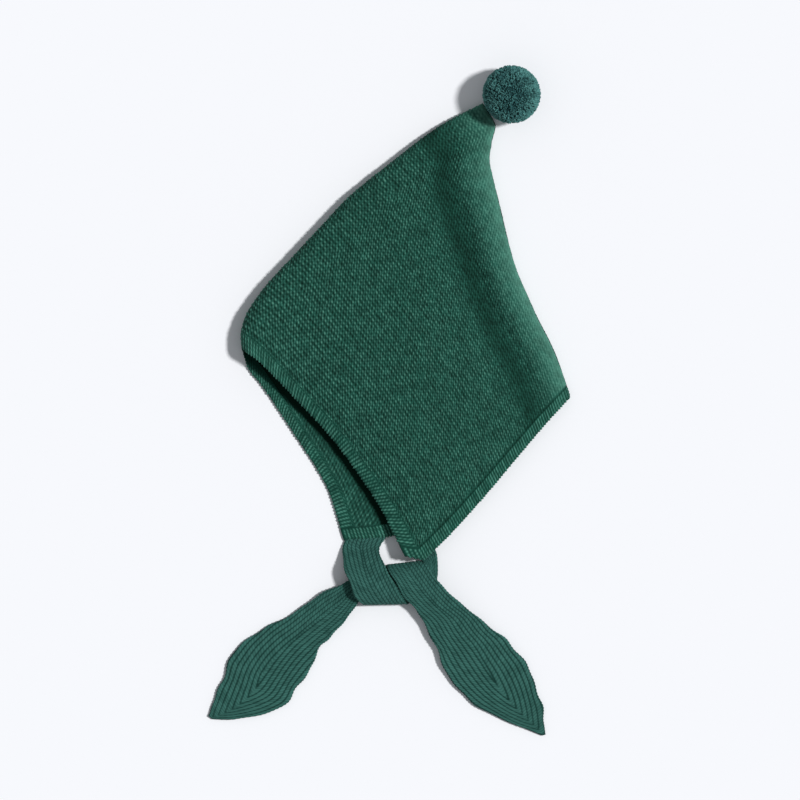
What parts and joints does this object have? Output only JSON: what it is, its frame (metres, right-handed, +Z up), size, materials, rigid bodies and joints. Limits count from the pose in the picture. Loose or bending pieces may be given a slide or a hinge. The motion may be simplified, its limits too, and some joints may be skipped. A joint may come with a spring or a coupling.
{
  "type": "knit elf hat",
  "caption": "Child's pointed knit hat lying folded on its side: hollow hood, ribbed face and neck bands, leaf-ended ties in a half knot and a yarn pompom on the tip.",
  "frame": {"origin": "on the table, under the middle of the whole lying hat", "axes": "+Y towards the pompom, from the leaf ends of the ties; +X towards the nape; +Z up, off the table"},
  "size_m": [0.2466, 0.4564, 0.0387],
  "materials": {
    "hood_knit": "matte",
    "band_rib": "matte",
    "tie_rib": "matte",
    "binding_yarn": "matte",
    "pompom_yarn": "matte"
  },
  "bodies": {
    "root": {"hood": "hood_knit", "face_band": "band_rib", "neck_band": "band_rib", "tie_far": "tie_rib", "tie_near": "tie_rib", "pompom_tie": "binding_yarn", "pompom": "pompom_yarn"}
  },
  "joints": []
}
